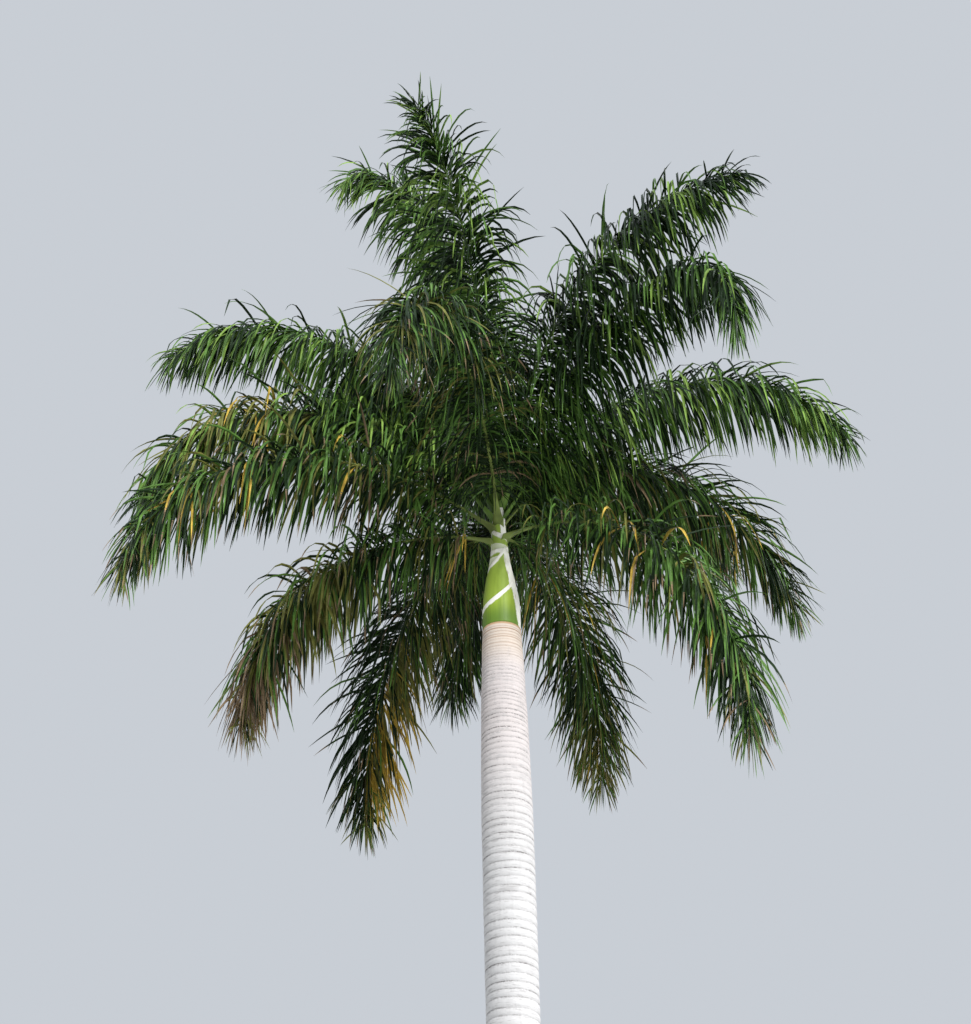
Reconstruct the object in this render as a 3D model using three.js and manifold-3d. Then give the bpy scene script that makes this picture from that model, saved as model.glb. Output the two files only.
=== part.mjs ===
// A royal palm: a pale trunk, a smooth green crownshaft, a spear leaf and a crown of arching
// feather fronds. Millimetres, +Z up. The front faces -Y, and the origin is the middle of the
// flat cut at ground level. Headings are degrees round the trunk: 0 is the front, 90 is +X.
import * as THREE from "three";
import Module from "manifold-3d";

const wasm = await Module();
wasm.setup();

const SEED = 7391;
const CLEAR = 0.4;
const UP = new THREE.Vector3(0, 0, 1);
const HALVINGS = 24;

// Trunk
const LEAN_DEG = 1.1;
const TRUNK_TOP = 11600;
const TRUNK_SIDES = 24;
const TRUNK_RINGS = 17;
const TRUNK_RING_EASE = 0.8;
const FLARE_HEIGHT = 420;
const FLARE_RINGS = [0, 60, 140, 250, FLARE_HEIGHT];
const FOOT_RADIUS = 335;
const TRUNK_RADII = [
  { z: 0, r: 250 },
  { z: 1800, r: 228 },
  { z: 5000, r: 231 },
  { z: 8000, r: 244 },
  { z: 9700, r: 245 },
  { z: 10800, r: 226 },
  { z: TRUNK_TOP, r: 200 },
];

// Crownshaft: the outer sheath below, the younger sheaths above it, and the spear leaf
const SHAFT_TOP = 13470;
const SHAFT_SIDES = 20;
const SHAFT_RINGS = 16;
const SHAFT_RADII = [
  { z: TRUNK_TOP, r: 197 },
  { z: 11930, r: 194 },
  { z: 12160, r: 168 },
  { z: 12500, r: 112 },
  { z: 12850, r: 92 },
  { z: SHAFT_TOP, r: 70 },
];
const SHEATH_STEP = 5;
const SHEATH_EDGE_HEIGHT = 11995;
const SHEATH_EDGE_TILT_DEG = 42;
const SPEAR_LENGTH = 1900;
const SPEAR_RADIUS = 27;
const SPEAR_TIP_RADIUS = 4;
const SPEAR_SIDES = 8;
const SPEAR_RINGS = 4;
const SPEAR_BOW = 60;

// Fronds, from the youngest at the top of the crownshaft to the oldest
const TOP_FROND_HEIGHT = 13410;
const FROND_SPACING = 40;
const FRONDS = [
  { heading: -122, rise: 72, arch: 85, ease: 1.4, sweep: -5, reach: 4400 },
  { heading: 26, rise: 62, arch: 91, ease: 1.35, sweep: 25, reach: 4800 },
  { heading: -8, rise: 67.5, arch: 80, ease: 2.1, sweep: -11, reach: 4600 },
  { heading: 175, rise: 64, arch: 85, ease: 1.3, sweep: 5, reach: 4400 },
  { heading: -43, rise: 81, arch: 159, ease: 4.5, sweep: -9, reach: 5150 },
  { heading: 42, rise: 48, arch: 154, ease: 2, sweep: -5, reach: 4950 },
  { heading: -76, rise: 66, arch: 125, ease: 1.7, sweep: 0, reach: 4850 },
  { heading: 136, rise: 56, arch: 95, ease: 1.3, sweep: -5, reach: 4500 },
  { heading: 88, rise: 62, arch: 130, ease: 1.5, sweep: -5, reach: 4850 },
  { heading: -70, rise: 50, arch: 138, ease: 1.2, sweep: -3, reach: 4950 },
  { heading: 114, rise: 60, arch: 135, ease: 1.2, sweep: 8, reach: 4850 },
  { heading: -5, rise: 32, arch: 125, ease: 1.6, sweep: -20, reach: 4850 },
  { heading: -172, rise: 40, arch: 95, ease: 1.3, sweep: 5, reach: 4000 },
  { heading: -58, rise: 20, arch: 100, ease: 1.3, sweep: -15, reach: 4850 },
  { heading: 156, rise: 27, arch: 105, ease: 1.25, sweep: 12, reach: 4300 },
  { heading: -144, rise: 40, arch: 138, ease: 0.8, sweep: -12, reach: 4500 },
  { heading: 55, rise: 2, arch: 95, ease: 0.8, sweep: 0, reach: 4700 },
  { heading: -77, rise: 6, arch: 98, ease: 0.9, sweep: 0, reach: 3950 },
];
const OLD_FRONDS_FROM = 10;
const SPLIT_ABOVE_ARCH = 115;
const SPLIT_AT = 0.5;

// The rib of a frond: half width and half height of its four-sided section
const RIB_STEPS = 16;
const RIB_SECTION = [
  { t: 0, wide: 32, high: 17 },
  { t: 0.07, wide: 19, high: 15 },
  { t: 0.5, wide: 14, high: 12 },
  { t: 1, wide: 5, high: 5 },
];
const ROOT_IN = 55;
const ROOT_DOWN = 70;
const ROOT_SHRINK = 0.6;

// Leaflets: each stands for several real ones
const LEAFLETS_PER_SIDE = 17;
const FIRST_LEAFLET = 0.07;
const LEAFLET_LENGTH = 1080;
const LEAFLET_REACH = [
  { t: 0, k: 0.45 },
  { t: 0.12, k: 0.75 },
  { t: 0.4, k: 1 },
  { t: 0.8, k: 0.9 },
  { t: 1, k: 0.52 },
];
const LEAFLET_ANGLE = [
  { t: 0, deg: 72 },
  { t: 0.5, deg: 58 },
  { t: 1, deg: 22 },
];
const RANK_TILTS_DEG = [46, -12];
const TILT_JITTER_DEG = 8;
const LEAFLET_SAG = 6.5;
const SAG_EASE = 1.6;
const STIFF_WHERE_SHORT = 0.9;
const SAG_STEPS = 8;
const WIDEST_AT = 0.42;
const LEAFLET_HALF_WIDTH = 78;
const LEAFLET_HALF_THICK = 7;
const LEAFLET_ROOT = 8;
const NARROWEST_SHARE = 0.6;
const MIN_LEAFLET_CLEARANCE = 1.5;
const SHORTENINGS = [1, 0.72, 0.5];

const rad = THREE.MathUtils.degToRad;

// A seeded stream of numbers from -1 to 1, the same on each run.
function jitterStream(seed) {
  let state = seed >>> 0;
  return () => {
    state = (Math.imul(state, 1664525) + 1013904223) >>> 0;
    return (state / 4294967296) * 2 - 1;
  };
}

// The value of one named field at a place along a list of rows, straight between the rows.
function between(rows, key, place, field) {
  if (place <= rows[0][key]) return rows[0][field];
  for (let i = 1; i < rows.length; i++) {
    if (place > rows[i][key]) continue;
    const share = (place - rows[i - 1][key]) / (rows[i][key] - rows[i - 1][key]);
    return THREE.MathUtils.lerp(rows[i - 1][field], rows[i][field], share);
  }
  return rows[rows.length - 1][field];
}

// The same, with a rounded run through the rows.
function smoothRadius(rows, z) {
  const curve = new THREE.CatmullRomCurve3(
    rows.map((row) => new THREE.Vector3(row.r, 0, row.z)),
    false,
    "centripetal",
  );
  let low = 0;
  let high = 1;
  for (let i = 0; i < HALVINGS; i++) {
    const middle = (low + high) / 2;
    if (curve.getPoint(middle).z < z) low = middle;
    else high = middle;
  }
  return curve.getPoint(low).x;
}

function trunkAxis(z) {
  return new THREE.Vector3(-Math.tan(rad(LEAN_DEG)) * z, 0, z);
}

// The flat direction of a heading, and the direction at a slope above it.
function headingVector(heading, slope = 0) {
  const flat = Math.cos(slope);
  return new THREE.Vector3(Math.sin(heading) * flat, -Math.cos(heading) * flat, Math.sin(slope));
}

// A closed solid skinned over rings of points. An end is a flat cap, or a tip where one is given.
function skin(rings, { startTip = null, endTip = null } = {}) {
  const points = rings.flat();
  const sides = rings[0].length;
  const last = (rings.length - 1) * sides;
  const faces = [];
  for (let ring = 0; ring + 1 < rings.length; ring++) {
    for (let i = 0; i < sides; i++) {
      const a = ring * sides + i;
      const b = ring * sides + ((i + 1) % sides);
      faces.push([a, b, b + sides], [a, b + sides, a + sides]);
    }
  }
  const close = (start, tip, flip) => {
    const tipIndex = tip ? points.push(tip) - 1 : start;
    for (let i = tip ? 0 : 1; i < (tip ? sides : sides - 1); i++) {
      const a = start + i;
      const b = start + ((i + 1) % sides);
      faces.push(flip ? [tipIndex, b, a] : [tipIndex, a, b]);
    }
  };
  close(0, startTip, true);
  close(last, endTip, false);
  const mesh = new wasm.Mesh({
    numProp: 3,
    vertProperties: new Float32Array(points.flatMap((p) => [p.x, p.y, p.z])),
    triVerts: new Uint32Array(faces.flat()),
  });
  return new wasm.Manifold(mesh);
}

// A level ring round the trunk's axis.
function levelRing(z, radius, sides) {
  const centre = trunkAxis(z);
  return Array.from({ length: sides }, (_, i) => {
    const turn = (i / sides) * 2 * Math.PI;
    return new THREE.Vector3(
      centre.x + radius * Math.cos(turn),
      centre.y + radius * Math.sin(turn),
      z,
    );
  });
}

function trunkRadius(z) {
  const flare = Math.max(0, 1 - z / FLARE_HEIGHT) ** 2;
  return smoothRadius(TRUNK_RADII, z) + (FOOT_RADIUS - TRUNK_RADII[0].r) * flare;
}

function buildTrunk() {
  const heights = [...FLARE_RINGS];
  for (let i = 1; i <= TRUNK_RINGS; i++) {
    const share = (i / TRUNK_RINGS) ** TRUNK_RING_EASE;
    heights.push(THREE.MathUtils.lerp(FLARE_HEIGHT, TRUNK_TOP, share));
  }
  return skin(heights.map((z) => levelRing(z, trunkRadius(z), TRUNK_SIDES)));
}

// The crownshaft's full body, grown by an allowance on all sides.
function shaftBody(allowance) {
  const bottom = TRUNK_TOP + CLEAR - allowance;
  const top = SHAFT_TOP + allowance;
  const rings = Array.from({ length: SHAFT_RINGS }, (_, i) => {
    const z = THREE.MathUtils.lerp(bottom, top, i / (SHAFT_RINGS - 1));
    const radius = smoothRadius(SHAFT_RADII, THREE.MathUtils.clamp(z, TRUNK_TOP, SHAFT_TOP));
    return levelRing(z, radius + allowance, SHAFT_SIDES);
  });
  return skin(rings);
}

// The outer sheath ends in a slanting edge, and the younger sheaths rise out of it.
function buildShaft() {
  const tilt = rad(SHEATH_EDGE_TILT_DEG);
  const normal = new THREE.Vector3(-Math.sin(tilt), 0, Math.cos(tilt));
  const level = normal.dot(trunkAxis(SHEATH_EDGE_HEIGHT));
  const outer = shaftBody(0).trimByPlane(normal.clone().negate().toArray(), -level);
  const inner = shaftBody(-SHEATH_STEP).trimByPlane(normal.toArray(), level + CLEAR);
  return { outer, inner };
}

function buildSpear() {
  const foot = trunkAxis(SHAFT_TOP - SHEATH_STEP + CLEAR);
  const rings = Array.from({ length: SPEAR_RINGS }, (_, i) => {
    const share = i / SPEAR_RINGS;
    const radius = THREE.MathUtils.lerp(SPEAR_RADIUS, SPEAR_TIP_RADIUS, share);
    const bow = SPEAR_BOW * share * share;
    return levelRing(0, radius, SPEAR_SIDES).map((p) =>
      p.add(foot).add(new THREE.Vector3(bow, bow, share * SPEAR_LENGTH)),
    );
  });
  const endTip = foot.clone().add(new THREE.Vector3(SPEAR_BOW, SPEAR_BOW, SPEAR_LENGTH));
  return skin(rings, { endTip });
}

// Places along a frond's rib: the point, the direction, the side and the upper face.
function ribPath(frond, index) {
  const height = TOP_FROND_HEIGHT - index * FROND_SPACING;
  const start = rad(frond.heading);
  const directionAt = (t) =>
    headingVector(
      start + rad(frond.sweep) * t,
      rad(frond.rise - frond.arch * t ** frond.ease),
    );
  const point = trunkAxis(height).addScaledVector(
    headingVector(start),
    smoothRadius(SHAFT_RADII, height),
  );
  const path = [];
  for (let i = 0; i <= RIB_STEPS; i++) {
    const t = i / RIB_STEPS;
    const along = directionAt(t);
    const heading = start + rad(frond.sweep) * t;
    const side = new THREE.Vector3(Math.cos(heading), Math.sin(heading), 0);
    const upper = side.clone().cross(along).normalize();
    path.push({ t, at: point.clone(), along, side, upper });
    const next = directionAt((i + 1) / RIB_STEPS);
    point.addScaledVector(along.clone().add(next), frond.reach / RIB_STEPS / 2);
  }
  return path;
}

// A place between two steps of the rib, on the straight length that joins them.
function placeOn(path, t) {
  const scaled = t * (path.length - 1);
  const before = path[Math.min(Math.floor(scaled), path.length - 2)];
  const after = path[path.indexOf(before) + 1];
  const share = scaled - path.indexOf(before);
  return {
    t,
    at: before.at.clone().lerp(after.at, share),
    along: before.along.clone().lerp(after.along, share).normalize(),
    side: before.side.clone().lerp(after.side, share).normalize(),
    upper: before.upper.clone().lerp(after.upper, share).normalize(),
  };
}

// The four-sided section of the rib at one place.
function ribSection(place, at, scale = 1) {
  const wide = between(RIB_SECTION, "t", place.t, "wide") * scale;
  const high = between(RIB_SECTION, "t", place.t, "high") * scale;
  return [
    at.clone().addScaledVector(place.side, wide),
    at.clone().addScaledVector(place.upper, -high),
    at.clone().addScaledVector(place.side, -wide),
    at.clone().addScaledVector(place.upper, high),
  ];
}

// The rib from one place to another. The first length of a frond starts inside the crownshaft,
// which then cuts its foot.
function buildRib(path, from, to, heading) {
  const places = path.filter((place) => place.t >= from && place.t <= to);
  const rings = places.map((place) => ribSection(place, place.at));
  if (from === 0) {
    const root = path[0].at
      .clone()
      .addScaledVector(headingVector(rad(heading)), -ROOT_IN)
      .addScaledVector(UP, -ROOT_DOWN);
    rings.unshift(ribSection(path[0], root, ROOT_SHRINK));
  } else {
    rings[0].forEach((point) => point.addScaledVector(places[0].along, CLEAR));
  }
  return skin(rings);
}

// One leaflet: a thin blade, widest near its middle, that hangs more the further it reaches.
function buildLeaflet(place, side, tilt, length) {
  const forward = rad(between(LEAFLET_ANGLE, "t", place.t, "deg"));
  const start = place.along
    .clone()
    .multiplyScalar(Math.cos(forward))
    .addScaledVector(place.side, side * Math.sin(forward) * Math.cos(tilt))
    .addScaledVector(place.upper, Math.sin(forward) * Math.sin(tilt));
  const sag = LEAFLET_SAG * between(LEAFLET_REACH, "t", place.t, "k") ** STIFF_WHERE_SHORT;
  const point = place.at.clone();
  let middle = null;
  for (let i = 1; i <= SAG_STEPS; i++) {
    const share = i / SAG_STEPS;
    const along = start.clone().addScaledVector(UP, -sag * share ** SAG_EASE).normalize();
    point.addScaledVector(along, length / SAG_STEPS);
    if (!middle && share >= WIDEST_AT) middle = { at: point.clone(), along };
  }
  const across = middle.along.clone().cross(place.along).normalize();
  const wide = middle.along.clone().cross(across).normalize();
  const halfWidth = LEAFLET_HALF_WIDTH * Math.max(length / LEAFLET_LENGTH, NARROWEST_SHARE);
  const ring = [
    middle.at.clone().addScaledVector(wide, halfWidth),
    middle.at.clone().addScaledVector(across, -LEAFLET_HALF_THICK),
    middle.at.clone().addScaledVector(wide, -halfWidth),
    middle.at.clone().addScaledVector(across, LEAFLET_HALF_THICK),
  ];
  const startTip = place.at.clone().addScaledVector(start, -LEAFLET_ROOT);
  return skin([ring], { startTip, endTip: point });
}

function boxesNear(a, b, distance) {
  return [0, 1, 2].every(
    (axis) => a.min[axis] <= b.max[axis] + distance && b.min[axis] <= a.max[axis] + distance,
  );
}

// Whether a leaflet comes too near to a solid that belongs to another node.
function isCrowded(leaflet, node, others) {
  const box = leaflet.boundingBox();
  return others.some(
    (other) =>
      other.node !== node &&
      boxesNear(box, other.box, MIN_LEAFLET_CLEARANCE) &&
      leaflet.minGap(other.solid, MIN_LEAFLET_CLEARANCE) < MIN_LEAFLET_CLEARANCE,
  );
}

// A frond's lengths: one, or two where it arches right over.
function frondLengths(frond, index) {
  const name = "frond_" + String(index + 1).padStart(2, "0");
  if (frond.arch <= SPLIT_ABOVE_ARCH) return [{ name, from: 0, to: 1 }];
  return [
    { name, from: 0, to: SPLIT_AT },
    { name: name + "_tip", from: SPLIT_AT, to: 1 },
  ];
}

// All fronds: the ribs first, then the leaflets, each kept only where it is clear of its neighbours.
function buildFronds(fixed) {
  const jitter = jitterStream(SEED);
  const ribs = FRONDS.flatMap((frond, index) => {
    const path = ribPath(frond, index);
    return frondLengths(frond, index).map((length) => {
      const solid = buildRib(path, length.from, length.to, frond.heading);
      return { ...length, index, path, solid, leaflets: [] };
    });
  });
  const obstacles = [...fixed, ...ribs.map((rib) => ({ node: rib.name, solid: rib.solid }))].map(
    (item) => ({ ...item, box: item.solid.boundingBox() }),
  );
  FRONDS.forEach((frond, index) => {
    for (let k = 0; k < LEAFLETS_PER_SIDE * 2; k++) {
      const t = FIRST_LEAFLET + ((1 - FIRST_LEAFLET) * (k + 0.5)) / (LEAFLETS_PER_SIDE * 2);
      const rib = ribs.find((item) => item.index === index && t <= item.to);
      const place = placeOn(rib.path, t);
      const side = k % 2 ? 1 : -1;
      const rank = RANK_TILTS_DEG[Math.floor(k / 2) % RANK_TILTS_DEG.length];
      const tilt = rad(rank + TILT_JITTER_DEG * jitter());
      const length = LEAFLET_LENGTH * between(LEAFLET_REACH, "t", t, "k");
      for (const share of SHORTENINGS) {
        const solid = buildLeaflet(place, side, tilt, length * share);
        if (isCrowded(solid, rib.name, obstacles)) continue;
        rib.leaflets.push(solid);
        obstacles.push({ node: rib.name, solid, box: solid.boundingBox() });
        break;
      }
    }
  });
  return ribs;
}

// The largest body of a solid, without loose scraps.
function largestBody(solid) {
  return solid.decompose().reduce((best, body) => (body.volume() > best.volume() ? body : best));
}

function addNode(group, name, solid, material) {
  const mesh = solid.getMesh();
  const geometry = new THREE.BufferGeometry();
  geometry.setAttribute("position", new THREE.BufferAttribute(mesh.vertProperties, 3));
  geometry.setIndex(new THREE.BufferAttribute(mesh.triVerts, 1));
  const node = new THREE.Mesh(geometry, material);
  node.name = name;
  group.add(node);
}

const finish = (name, color) => new THREE.MeshStandardMaterial({ name, color, roughness: 0.7 });
const MATERIALS = {
  bark: finish("trunk_bark", 0xd9d3c7),
  sheath: finish("sheath_green", 0x86a844),
  young: finish("young_frond_green", 0x3f6b2b),
  old: finish("old_frond_green", 0x55652c),
};

const palm = new THREE.Group();
palm.name = "royal_palm";
const trunk = buildTrunk();
const { outer, inner } = buildShaft();
const spear = buildSpear();
addNode(palm, "trunk", trunk, MATERIALS.bark);
addNode(palm, "crownshaft", outer, MATERIALS.sheath);
addNode(palm, "inner_sheaths", inner, MATERIALS.sheath);
addNode(palm, "spear_leaf", spear, MATERIALS.sheath);
const fixed = [
  { node: "trunk", solid: trunk },
  { node: "crownshaft", solid: outer },
  { node: "inner_sheaths", solid: inner },
  { node: "spear_leaf", solid: spear },
];
const shaftCutter = shaftBody(CLEAR - SHEATH_STEP);
for (const rib of buildFronds(fixed)) {
  const blade = wasm.Manifold.union([rib.solid, ...rib.leaflets]);
  const frond = largestBody(blade.subtract(shaftCutter));
  addNode(palm, rib.name, frond, rib.index < OLD_FRONDS_FROM ? MATERIALS.young : MATERIALS.old);
}

export default palm;
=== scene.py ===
"""The looks of a royal palm: ringed bark, a sheathed crownshaft, ribs and feather leaflets.

Metres, +Z up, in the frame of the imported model. Headings are degrees round the trunk: 0 is the
front and 90 is +X. The fronds grow by the model's own rule, carried to narrow leaflets.
"""

import logging
import math
from dataclasses import dataclass, field, replace
from enum import Enum

import bmesh
import bpy
import numpy as np
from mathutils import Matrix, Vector, noise


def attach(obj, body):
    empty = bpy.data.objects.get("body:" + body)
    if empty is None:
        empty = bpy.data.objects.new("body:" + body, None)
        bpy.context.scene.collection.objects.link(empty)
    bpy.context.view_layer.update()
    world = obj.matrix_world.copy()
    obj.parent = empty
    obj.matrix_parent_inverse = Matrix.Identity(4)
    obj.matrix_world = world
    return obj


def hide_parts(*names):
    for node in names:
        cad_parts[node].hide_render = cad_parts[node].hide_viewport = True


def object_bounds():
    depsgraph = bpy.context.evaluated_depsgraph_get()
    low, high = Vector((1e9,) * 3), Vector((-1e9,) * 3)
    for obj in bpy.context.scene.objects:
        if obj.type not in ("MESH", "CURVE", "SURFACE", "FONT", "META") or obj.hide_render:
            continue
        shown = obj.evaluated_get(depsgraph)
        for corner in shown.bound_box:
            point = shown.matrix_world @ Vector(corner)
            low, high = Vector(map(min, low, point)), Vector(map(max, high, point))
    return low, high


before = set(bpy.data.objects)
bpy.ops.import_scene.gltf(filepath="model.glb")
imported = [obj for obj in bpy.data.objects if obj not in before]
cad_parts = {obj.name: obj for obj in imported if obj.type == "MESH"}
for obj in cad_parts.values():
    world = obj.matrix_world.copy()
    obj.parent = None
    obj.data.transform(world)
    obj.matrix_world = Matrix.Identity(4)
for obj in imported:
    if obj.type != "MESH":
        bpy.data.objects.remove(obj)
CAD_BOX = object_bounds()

log = logging.getLogger("royal_palm")

Array = np.ndarray
Colour = tuple[float, float, float]
Pair = tuple[float, float]
Rows = tuple[Pair, ...]
Waves = tuple[float, float, float]
Part = tuple[Array, Array]
Socket = bpy.types.NodeSocket

SEED = 7391
BODY = "root"
UP = np.array((0.0, 0.0, 1.0))
MERGE_DISTANCE = 1e-6
MOST_TRIANGLES = 190_000

# How far apart the fields of noise lie, and the points round a leaflet's section
FIELD_SPACING = 17.3
CORNERS = 4

# The Mix node's sockets for colours: the share and the two colours, and the result
MIX_INPUTS = (0, 6, 7)
MIX_RESULT = 2

# The palm's lean and heights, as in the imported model
LEAN = math.radians(1.1)
TRUNK_TOP = 11.6
SHAFT_TOP = 13.47
FLARE_HEIGHT = 0.42
FOOT_RADIUS = 0.335
TRUNK_RADII: Rows = (
    (0.0, 0.250),
    (1.8, 0.228),
    (5.0, 0.231),
    (8.0, 0.244),
    (9.7, 0.245),
    (10.8, 0.226),
    (TRUNK_TOP, 0.200),
)
SHAFT_RADII: Rows = (
    (TRUNK_TOP, 0.197),
    (11.93, 0.194),
    (12.16, 0.168),
    (12.5, 0.112),
    (12.85, 0.092),
    (SHAFT_TOP, 0.070),
)

# The fronds' places on the crownshaft
TOP_FROND_HEIGHT = 13.41
FROND_SPACING = 0.04
OLD_FRONDS_FROM = 10


class Age(Enum):
    """The two ages of frond, by the record's slot for them."""

    YOUNG = "young_frond_green"
    OLD = "old_frond_green"


class Field(Enum):
    """The fields of noise that mould the skins."""

    WAVER = 1
    FINE_WAVER = 2
    DENTS = 3
    RAGGED = 5
    FRAYED = 6


class Tint(Enum):
    """The leaf colours that are dealt out by spray."""

    DEEP = "deep"
    LEAF = "leaf"
    FRESH = "fresh"
    OLIVE = "olive"
    GOLD = "gold"
    DRY = "dry"


@dataclass(frozen=True)
class FrondRow:
    """How one frond grows.

    Attributes:
        heading: Direction round the trunk, degrees.
        rise: Slope at the foot, degrees above level.
        arch: How far the rib turns down from foot to tip, degrees.
        ease: Power of the turn: above 1 it comes late.
        sweep: How far the rib turns sideways, degrees.
        reach: Length of the rib, metres.
    """

    heading: float
    rise: float
    arch: float
    ease: float
    sweep: float
    reach: float


FRONDS: tuple[FrondRow, ...] = (
    FrondRow(-122, 72, 85, 1.4, -5, 4.40),
    FrondRow(26, 62, 91, 1.35, 25, 4.80),
    FrondRow(-8, 67.5, 80, 2.1, -11, 4.60),
    FrondRow(175, 64, 85, 1.3, 5, 4.40),
    FrondRow(-43, 81, 159, 4.5, -9, 5.15),
    FrondRow(42, 48, 154, 2.0, -5, 4.95),
    FrondRow(-76, 66, 125, 1.7, 0, 4.85),
    FrondRow(136, 56, 95, 1.3, -5, 4.50),
    FrondRow(88, 62, 130, 1.5, -5, 4.85),
    FrondRow(-70, 50, 138, 1.2, -3, 4.95),
    FrondRow(114, 60, 135, 1.2, 8, 4.85),
    FrondRow(-5, 32, 125, 1.6, -20, 4.85),
    FrondRow(-172, 40, 95, 1.3, 5, 4.00),
    FrondRow(-58, 20, 100, 1.3, -15, 4.85),
    FrondRow(156, 27, 105, 1.25, 12, 4.30),
    FrondRow(-144, 40, 138, 0.8, -12, 4.50),
    FrondRow(55, 2, 95, 0.8, 0, 4.70),
    FrondRow(-77, 6, 98, 0.9, 0, 3.95),
)


def trunk_axis(heights: Array) -> Array:
    """Points of the leaning axis at some heights.

    Args:
        heights: Heights above the ground, any shape.

    Returns:
        An array with one more dimension, of x, y and z.
    """
    heights = np.asarray(heights, float)
    return np.stack([-math.tan(LEAN) * heights, 0 * heights, heights], axis=-1)


def heading_vector(heading: Array, slope: Array) -> Array:
    """Unit directions at a heading and a slope.

    Args:
        heading: Radians round the trunk.
        slope: Radians above level.

    Returns:
        An array with one more dimension, of x, y and z.
    """
    flat = np.cos(slope)
    return np.stack([np.sin(heading) * flat, -np.cos(heading) * flat, np.sin(slope)], axis=-1)


def unit(vectors: Array) -> Array:
    """Vectors scaled to length 1."""
    return vectors / np.linalg.norm(vectors, axis=-1, keepdims=True)


def clamp(values: Array) -> Array:
    """Values kept from 0 to 1."""
    return np.clip(values, 0, 1)


def round_points(radius: Array, turn: Array, height: Array) -> Array:
    """Points at some radii and turns round the Z axis, one row each."""
    return np.stack([radius * np.cos(turn), radius * np.sin(turn), height], axis=1)


def chosen_by(draw: np.random.Generator, places: Array, share: Array | float) -> Array:
    """Whether each place is one of a share of them that chance picks out."""
    return draw.uniform(0, 1, len(places)) < share


def along_rows(rows: Rows, places: Array) -> Array:
    """Values at some places, straight between the rows of place and value."""
    keys, values = zip(*rows)
    return np.interp(places, keys, values)


@dataclass(frozen=True)
class RadiusRun:
    """A radius that runs round through rows of height and radius, as the model's does.

    Attributes:
        rows: Heights and radii, from the lowest up.
        samples: Points worked out between two rows.
    """

    rows: Rows
    samples: int = 120

    def at(self, heights: Array) -> Array:
        """Radii at some heights, on a centripetal Catmull-Rom run.

        Args:
            heights: Heights above the ground.

        Returns:
            A radius for each height.
        """
        points = np.array(self.rows)
        ends = [2 * points[0] - points[1], *points, 2 * points[-1] - points[-2]]
        share = np.linspace(0, 1, self.samples)[:, None]
        stretches = []
        for before, start, end, after in zip(ends, ends[1:], ends[2:], ends[3:]):
            first = math.sqrt(math.dist(before, start))
            middle = math.sqrt(math.dist(start, end))
            last = math.sqrt(math.dist(end, after))
            step = end - start
            leave = (start - before) / first - (end - before) / (first + middle) + step / middle
            arrive = step / middle - (after - start) / (middle + last) + (after - end) / last
            leave, arrive = leave * middle, arrive * middle
            bend = (3 * step - 2 * leave - arrive) * share**2
            stretches.append(start + leave * share + bend + (leave + arrive - 2 * step) * share**3)
        run = np.vstack(stretches)
        return np.interp(heights, run[:, 0], run[:, 1])


TRUNK_RUN = RadiusRun(TRUNK_RADII)
SHAFT_RUN = RadiusRun(SHAFT_RADII)


def mesh_from(bm: bmesh.types.BMesh, name: str) -> bpy.types.Mesh:
    """Turns an edited mesh into a plain one, and frees it.

    Args:
        bm: The edited mesh.
        name: The plain mesh's name.

    Returns:
        The plain mesh.
    """
    mesh = bpy.data.meshes.new(name)
    bm.to_mesh(mesh)
    bm.free()
    return mesh


def spun(profile: list[Pair], steps: int) -> bpy.types.Mesh:
    """A closed skin: a profile spun once round the Z axis.

    Args:
        profile: Points of radius and height, from the axis and back to it.
        steps: Sides of the finished skin.

    Returns:
        The mesh, with its faces outwards.
    """
    bm = bmesh.new()
    verts = [bm.verts.new((radius, 0.0, height)) for radius, height in profile]
    edges = [bm.edges.new(pair) for pair in zip(verts, verts[1:])]
    bmesh.ops.spin(
        bm,
        geom=verts + edges,
        axis=(0, 0, 1),
        cent=(0, 0, 0),
        angle=math.tau,
        steps=steps,
        use_merge=True,
    )
    bmesh.ops.remove_doubles(bm, verts=bm.verts, dist=MERGE_DISTANCE)
    bmesh.ops.recalc_face_normals(bm, faces=bm.faces)
    return mesh_from(bm, "spun")


def points_of(mesh: bpy.types.Mesh) -> Array:
    """The points of a mesh.

    Args:
        mesh: The mesh.

    Returns:
        Its points, one row each.
    """
    flat = np.empty(len(mesh.vertices) * 3, np.float32)
    mesh.vertices.foreach_get("co", flat)
    return flat.reshape(-1, 3).astype(float)


def set_points(mesh: bpy.types.Mesh, points: Array) -> None:
    """Moves the mesh's points."""
    mesh.vertices.foreach_set("co", points.astype(np.float32).ravel())
    mesh.update()


def set_attribute(mesh: bpy.types.Mesh, name: str, values: Array) -> None:
    """Writes one number a point, which a material can read by its name."""
    attribute = mesh.attributes.new(name, "FLOAT", "POINT")
    attribute.data.foreach_set("value", values.astype(np.float32))


def noise_at(points: Array, waves: Waves, which: Field) -> Array:
    """Smooth noise from about -1 to 1 at some points.

    Args:
        points: Points, one row each.
        waves: Waves a metre along x, y and z.
        which: Which of the fields of noise.

    Returns:
        One number a point.
    """
    placed = points * np.array(waves) + which.value * FIELD_SPACING
    return np.array([noise.noise(Vector(point)) for point in placed])


def add_object(name: str, data: bpy.types.ID) -> bpy.types.Object:
    """Adds an object to the scene.

    Args:
        name: Its name.
        data: Its mesh, light or camera.

    Returns:
        The object.
    """
    made = bpy.data.objects.new(name, data)
    bpy.context.scene.collection.objects.link(made)
    return made


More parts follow.
